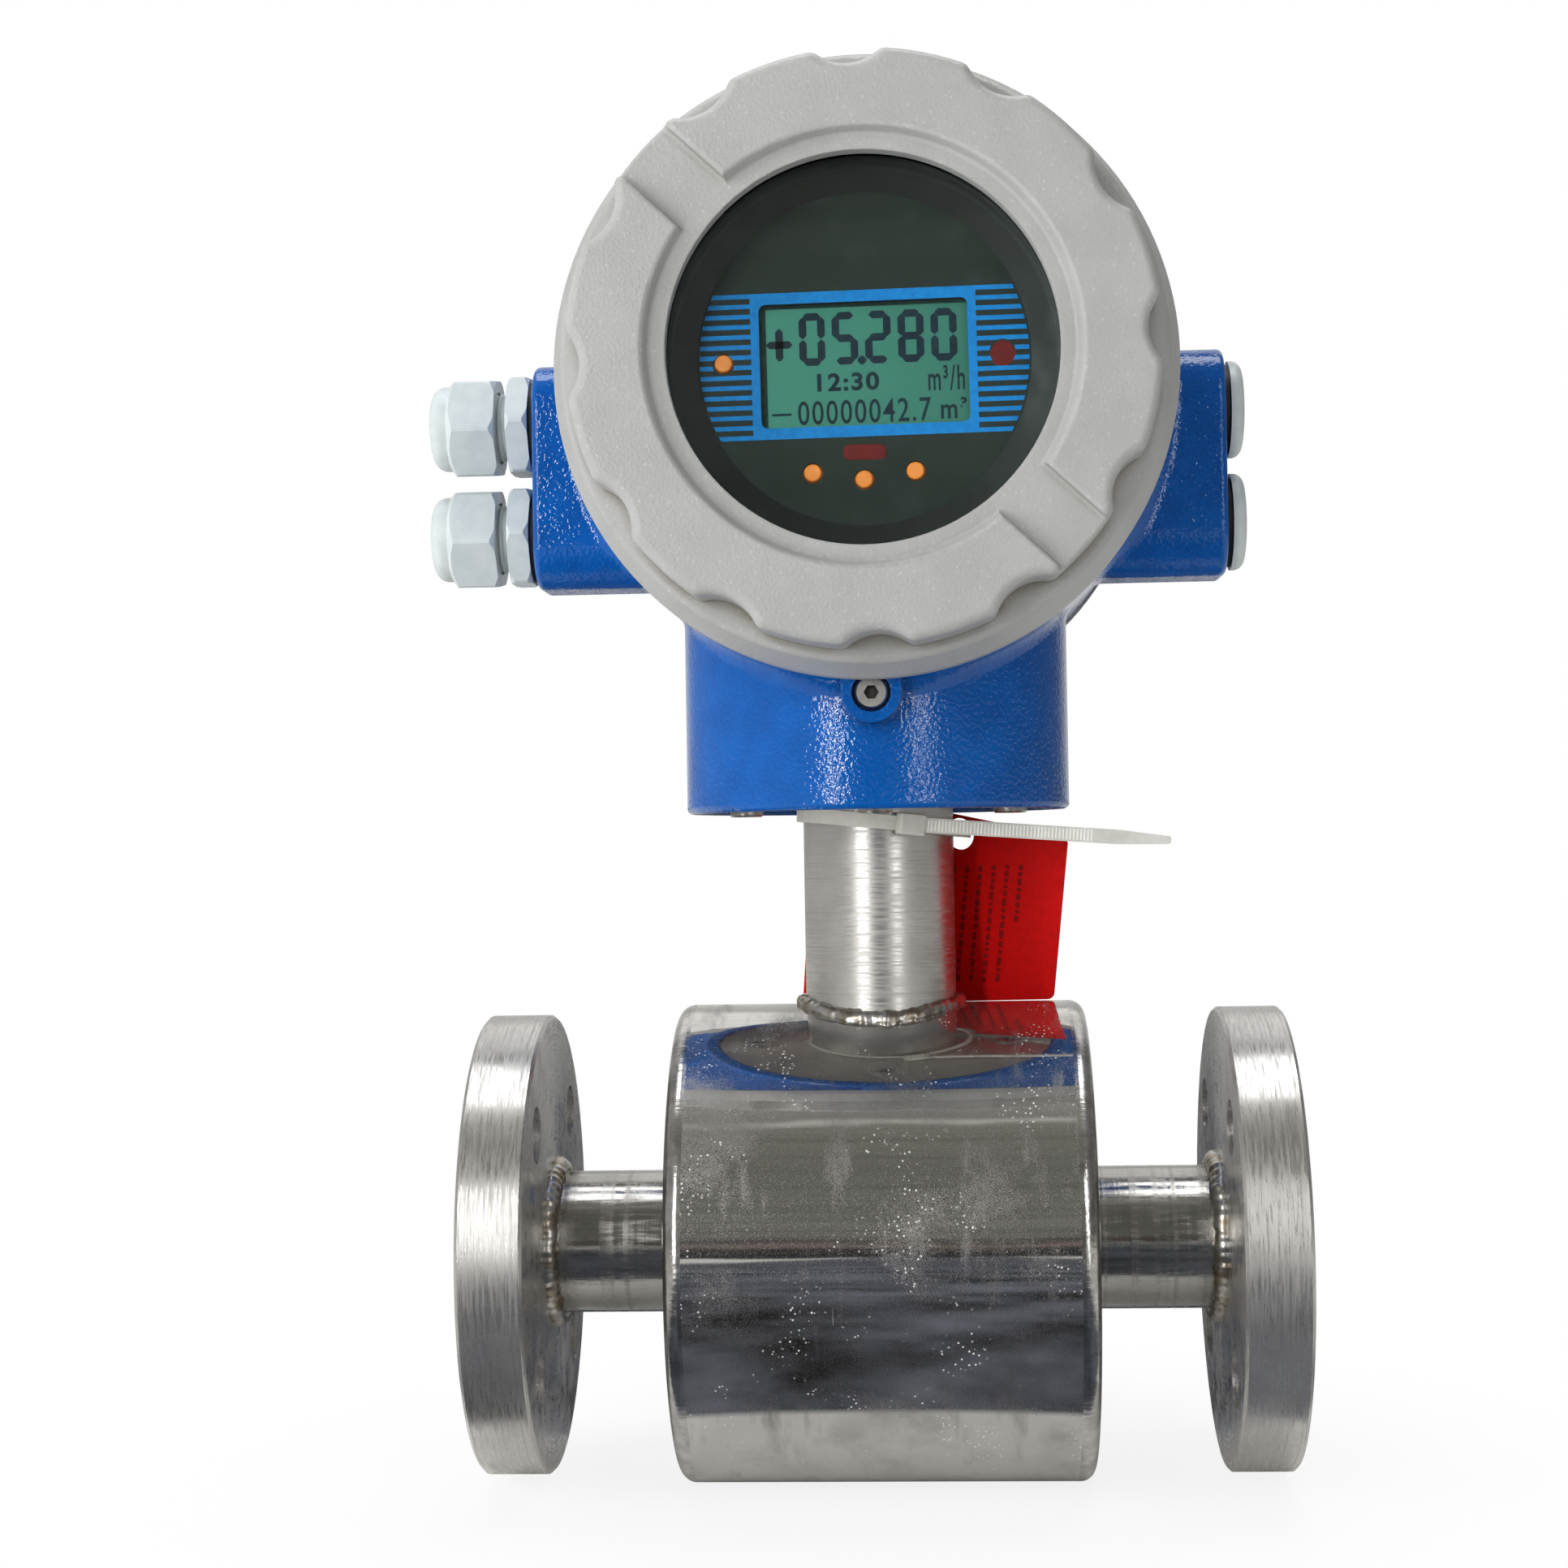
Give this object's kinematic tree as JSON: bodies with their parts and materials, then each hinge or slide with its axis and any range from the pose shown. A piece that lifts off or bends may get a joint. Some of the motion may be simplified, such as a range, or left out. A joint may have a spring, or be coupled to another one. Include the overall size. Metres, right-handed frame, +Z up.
{
  "type": "electromagnetic flow meter",
  "caption": "Flanged in-line electromagnetic flow meter: polished coil drum on a pipe tube, and on its neck a blue cast head with a screwed window cover, display, keys and cable glands.",
  "frame": {"origin": "centre of the flow bore, halfway between the flange faces", "axes": "+X along the flow, +Z up the neck to the head, display facing -Y"},
  "size_m": [0.2124, 0.1653, 0.3438],
  "materials": {
    "powder_coat_blue": "glossy powder coat on a casting",
    "powder_coat_grey": "satin powder coat on a casting",
    "turned_stainless": "turned and dulled",
    "polished_stainless": "mirror polished with fine scratches",
    "brushed_stainless": "brushed round the axis",
    "weld_bead": "shiny rippled bead",
    "screw_steel": "machined",
    "electrode_alloy": "polished",
    "liner_rubber": "moulded",
    "seal_rubber": "moulded",
    "coil_copper": "enamelled wire winding",
    "core_iron": "bare",
    "bush_plastic": "turned",
    "window_glass": "clear",
    "black_plastic": "moulded",
    "printed_plate": "screen printed",
    "lcd_green": "lit display",
    "key_amber": "moulded",
    "infrared_red": "tinted",
    "circuit_board": "solder mask",
    "standoff_brass": "turned",
    "gland_nylon": "moulded",
    "tie_nylon": "natural, slightly clear",
    "tag_card": "coloured card"
  },
  "bodies": {
    "meter_body": {"housing": "powder_coat_blue", "inlet_flange": "turned_stainless", "outlet_flange": "turned_stainless", "measuring_tube": "turned_stainless", "drum_shell": "polished_stainless", "inlet_end_plate": "polished_stainless", "outlet_end_plate": "polished_stainless", "neck_tube": "brushed_stainless", "neck_plate": "brushed_stainless", "tube_welds": "weld_bead", "neck_weld": "weld_bead", "neck_screws": "screw_steel", "lock_screws": "screw_steel", "board_screws": "screw_steel", "terminal_screws": "screw_steel", "front_electrode": "electrode_alloy", "rear_electrode": "electrode_alloy", "electrode_nuts": "electrode_alloy", "liner": "liner_rubber", "neck_gasket": "seal_rubber", "gland_washers": "seal_rubber", "plug_washers": "seal_rubber", "upper_coil": "coil_copper", "lower_coil": "coil_copper", "upper_pole_core": "core_iron", "lower_pole_core": "core_iron", "flux_yoke": "core_iron", "electrode_bushes": "bush_plastic", "display_bezel": "black_plastic", "key_switches": "black_plastic", "terminal_block": "black_plastic", "faceplate": "printed_plate", "lcd_module": "lcd_green", "infrared_windows": "infrared_red", "display_board": "circuit_board", "main_board": "circuit_board", "front_standoffs": "standoff_brass", "rear_standoffs": "standoff_brass", "upper_gland_body": "gland_nylon", "lower_gland_body": "gland_nylon", "upper_plug": "gland_nylon", "lower_plug": "gland_nylon", "cable_tie": "tie_nylon", "tag": "tag_card"},
    "front_cover_seal": {"front_cover_seal": "seal_rubber"},
    "front_cover": {"front_cover": "powder_coat_grey", "window_glass": "window_glass", "window_gasket": "seal_rubber", "window_ring": "screw_steel"},
    "rear_cover_seal": {"rear_cover_seal": "seal_rubber"},
    "rear_cover": {"rear_cover": "powder_coat_grey"},
    "upper_gland_seal": {"upper_gland_seal": "seal_rubber"},
    "upper_gland_nut": {"upper_gland_nut": "gland_nylon"},
    "lower_gland_seal": {"lower_gland_seal": "seal_rubber"},
    "lower_gland_nut": {"lower_gland_nut": "gland_nylon"},
    "left_key": {"left_key": "key_amber"},
    "down_key": {"down_key": "key_amber"},
    "enter_key": {"enter_key": "key_amber"},
    "up_key": {"up_key": "key_amber"}
  },
  "joints": [
    {"name": "front_cover_draw", "type": "slide", "parent": "meter_body", "child": "front_cover_seal", "axis": [0, -1, 0], "range_m": [0, 0.0121]},
    {"name": "front_cover_turn", "type": "hinge", "parent": "front_cover_seal", "child": "front_cover", "pos_m": [0, 0, 0.2112], "axis": [0, -1, 0], "range_deg": [0, 2160]},
    {"name": "rear_cover_draw", "type": "slide", "parent": "meter_body", "child": "rear_cover_seal", "axis": [0, 1, 0], "range_m": [0, 0.0121]},
    {"name": "rear_cover_turn", "type": "hinge", "parent": "rear_cover_seal", "child": "rear_cover", "pos_m": [0, 0, 0.2112], "axis": [0, 1, 0], "range_deg": [0, 2160]},
    {"name": "upper_gland_draw", "type": "slide", "parent": "meter_body", "child": "upper_gland_seal", "axis": [-1, 0, 0], "range_m": [0, 0.0076]},
    {"name": "upper_gland_turn", "type": "hinge", "parent": "upper_gland_seal", "child": "upper_gland_nut", "pos_m": [-0.1, 0, 0.20835], "axis": [-1, 0, 0], "range_deg": [0, 1800]},
    {"name": "lower_gland_draw", "type": "slide", "parent": "meter_body", "child": "lower_gland_seal", "axis": [-1, 0, 0], "range_m": [0, 0.0076]},
    {"name": "lower_gland_turn", "type": "hinge", "parent": "lower_gland_seal", "child": "lower_gland_nut", "pos_m": [-0.1, 0, 0.17985], "axis": [-1, 0, 0], "range_deg": [0, 1800]},
    {"name": "left_key_press", "type": "slide", "parent": "meter_body", "child": "left_key", "axis": [0, 1, 0], "range_m": [0, 0.0005], "stiffness_N_per_m": 300},
    {"name": "down_key_press", "type": "slide", "parent": "meter_body", "child": "down_key", "axis": [0, 1, 0], "range_m": [0, 0.0005], "stiffness_N_per_m": 300},
    {"name": "enter_key_press", "type": "slide", "parent": "meter_body", "child": "enter_key", "axis": [0, 1, 0], "range_m": [0, 0.0005], "stiffness_N_per_m": 300},
    {"name": "up_key_press", "type": "slide", "parent": "meter_body", "child": "up_key", "axis": [0, 1, 0], "range_m": [0, 0.0005], "stiffness_N_per_m": 300}
  ],
  "couplings": [
    {"joint": "front_cover_draw", "follows": "front_cover_turn", "m_per_rad": 0.00031831},
    {"joint": "rear_cover_draw", "follows": "rear_cover_turn", "m_per_rad": 0.00031831},
    {"joint": "upper_gland_draw", "follows": "upper_gland_turn", "m_per_rad": 0.00023873},
    {"joint": "lower_gland_draw", "follows": "lower_gland_turn", "m_per_rad": 0.00023873}
  ]
}
